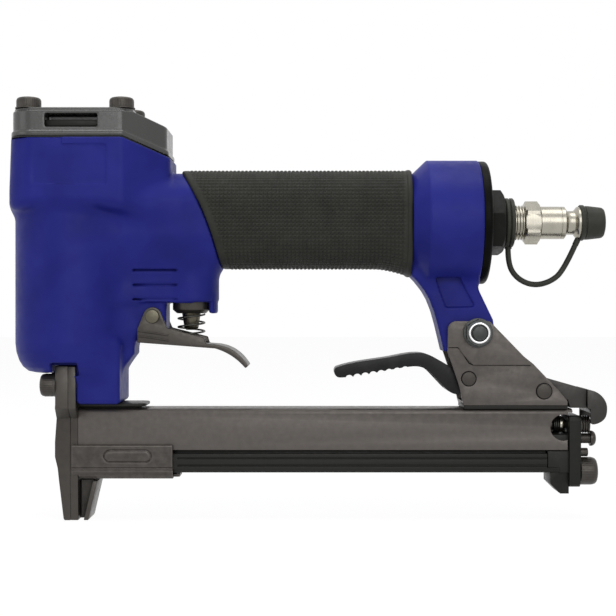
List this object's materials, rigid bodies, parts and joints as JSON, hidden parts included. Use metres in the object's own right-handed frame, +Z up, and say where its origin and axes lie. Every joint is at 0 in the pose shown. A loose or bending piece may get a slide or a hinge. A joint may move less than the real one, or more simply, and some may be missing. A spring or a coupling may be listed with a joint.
{
  "type": "pneumatic stapler",
  "caption": "Air-driven fine-wire stapler with grip, trigger, sliding staple magazine, release lever and latch, and a capped air plug; drives staples from its nose.",
  "frame": {"origin": "middle of the nose's contact face, on the drive line", "axes": "+X along the magazine and handle to the air plug, +Y to the tool's left, +Z up the cylinder, against the direction of driving"},
  "size_m": [0.2211, 0.0464, 0.1547],
  "materials": {
    "painted_blue": "smooth gloss powder paint",
    "cast_black": "black paint on a die casting, satin",
    "black_steel": "blackened steel, oiled satin",
    "gun_steel": "phosphated steel sheet, satin",
    "zinc_steel": "bright zinc plating",
    "bright_steel": "turned steel",
    "grip_rubber": "moulded rubber with a fine square knurl",
    "soft_rubber": "plain moulded rubber",
    "seal_rubber": "nitrile seal rubber",
    "bumper_rubber": "polyurethane, translucent amber",
    "liner_alloy": "hard anodised tube",
    "spring_steel": "dark spring wire",
    "tail_plastic": "black moulded disc"
  },
  "bodies": {
    "tool": {"housing": "painted_blue", "cylinder_cap": "cast_black", "exhaust_bar": "gun_steel", "cap_gasket": "seal_rubber", "cap_screws": "black_steel", "cap_screw_washers": "black_steel", "cylinder_sleeve": "liner_alloy", "sleeve_seals": "seal_rubber", "bumper": "bumper_rubber", "head_valve_spring": "spring_steel", "grip_sleeve": "grip_rubber", "tail_cap": "tail_plastic", "tail_seal": "seal_rubber", "tail_screws": "black_steel", "inlet_bushing": "black_steel", "air_plug": "zinc_steel", "tether_ring": "soft_rubber", "tether": "soft_rubber", "trigger_pin": "bright_steel", "valve_bushing": "black_steel", "valve_seals": "seal_rubber", "trigger_spring": "spring_steel", "front_plate": "black_steel", "driver_guide": "black_steel", "nose_screws": "black_steel", "nose_washers": "black_steel", "magazine_channel": "gun_steel", "magazine_tab": "gun_steel", "guide_clip": "gun_steel", "magazine_saddle": "black_steel", "rear_bracket": "gun_steel", "leg_plates": "gun_steel", "leg_bolt": "black_steel", "leg_nut": "zinc_steel", "leg_washers": "zinc_steel", "lever_pin": "gun_steel", "hook_pin": "gun_steel", "lever_spring": "spring_steel"},
    "driver": {"piston": "liner_alloy", "piston_ring": "seal_rubber", "driver_blade": "bright_steel"},
    "main_valve": {"head_valve": "liner_alloy", "head_valve_seal": "seal_rubber"},
    "dust_cover": {"dust_cap": "soft_rubber"},
    "trigger_lever": {"trigger": "black_steel"},
    "pilot_valve": {"valve_stem": "gun_steel"},
    "release": {"release_lever": "black_steel"},
    "latch": {"latch_hook": "cast_black"},
    "magazine": {"staple_rail": "black_steel", "end_bracket": "black_steel", "end_plate": "black_steel", "end_screw": "black_steel", "end_studs": "black_steel", "guide_rod": "bright_steel", "rod_button": "black_steel", "latch_nut": "black_steel", "buffer_washer": "zinc_steel", "buffer_spring": "spring_steel", "pusher_spring": "spring_steel"},
    "follower": {"pusher": "bright_steel"}
  },
  "joints": [
    {"name": "driver_stroke", "type": "slide", "parent": "tool", "child": "driver", "axis": [0, 0, -1], "range_m": [0, 0.0435]},
    {"name": "main_valve_lift", "type": "slide", "parent": "tool", "child": "main_valve", "axis": [0, 0, 1], "range_m": [0, 0.003], "stiffness_N_per_m": 400, "springref_m": -0.008, "deforming": ["head_valve_spring"]},
    {"name": "dust_cap_pull", "type": "slide", "parent": "tool", "child": "dust_cover", "axis": [1, 0, 0], "range_m": [0, 0.02], "deforming": ["tether"]},
    {"name": "trigger_pivot", "type": "hinge", "parent": "tool", "child": "trigger_lever", "pos_m": [0.031, 0, 0.0753], "axis": [0, -1, 0], "range_deg": [0, 23], "stiffness_Nm_per_rad": 0.05, "springref_deg": -20.05, "deforming": ["trigger_spring"]},
    {"name": "pilot_valve_slide", "type": "slide", "parent": "tool", "child": "pilot_valve", "axis": [0, 0, 1], "range_m": [0, 0.002]},
    {"name": "release_pivot", "type": "hinge", "parent": "tool", "child": "release", "pos_m": [0.1473, 0, 0.0524], "axis": [0, 1, 0], "range_deg": [0, 14], "stiffness_Nm_per_rad": 0.1, "springref_deg": -22.92, "deforming": ["lever_spring"]},
    {"name": "latch_pivot", "type": "hinge", "parent": "tool", "child": "latch", "pos_m": [0.175, 0, 0.0478], "axis": [0, 1, 0], "range_deg": [-11.3, 0]},
    {"name": "magazine_slide", "type": "slide", "parent": "tool", "child": "magazine", "axis": [1, 0, 0], "range_m": [0, 0.15]},
    {"name": "follower_slide", "type": "slide", "parent": "magazine", "child": "follower", "axis": [1, 0, 0], "range_m": [0, 0.12], "stiffness_N_per_m": 25, "springref_m": -0.1, "deforming": ["pusher_spring"]}
  ],
  "couplings": [
    {"joint": "trigger_pivot", "follows": "pilot_valve_slide", "rad_per_m": 200.7},
    {"joint": "latch_pivot", "follows": "release_pivot", "ratio": -0.8}
  ]
}
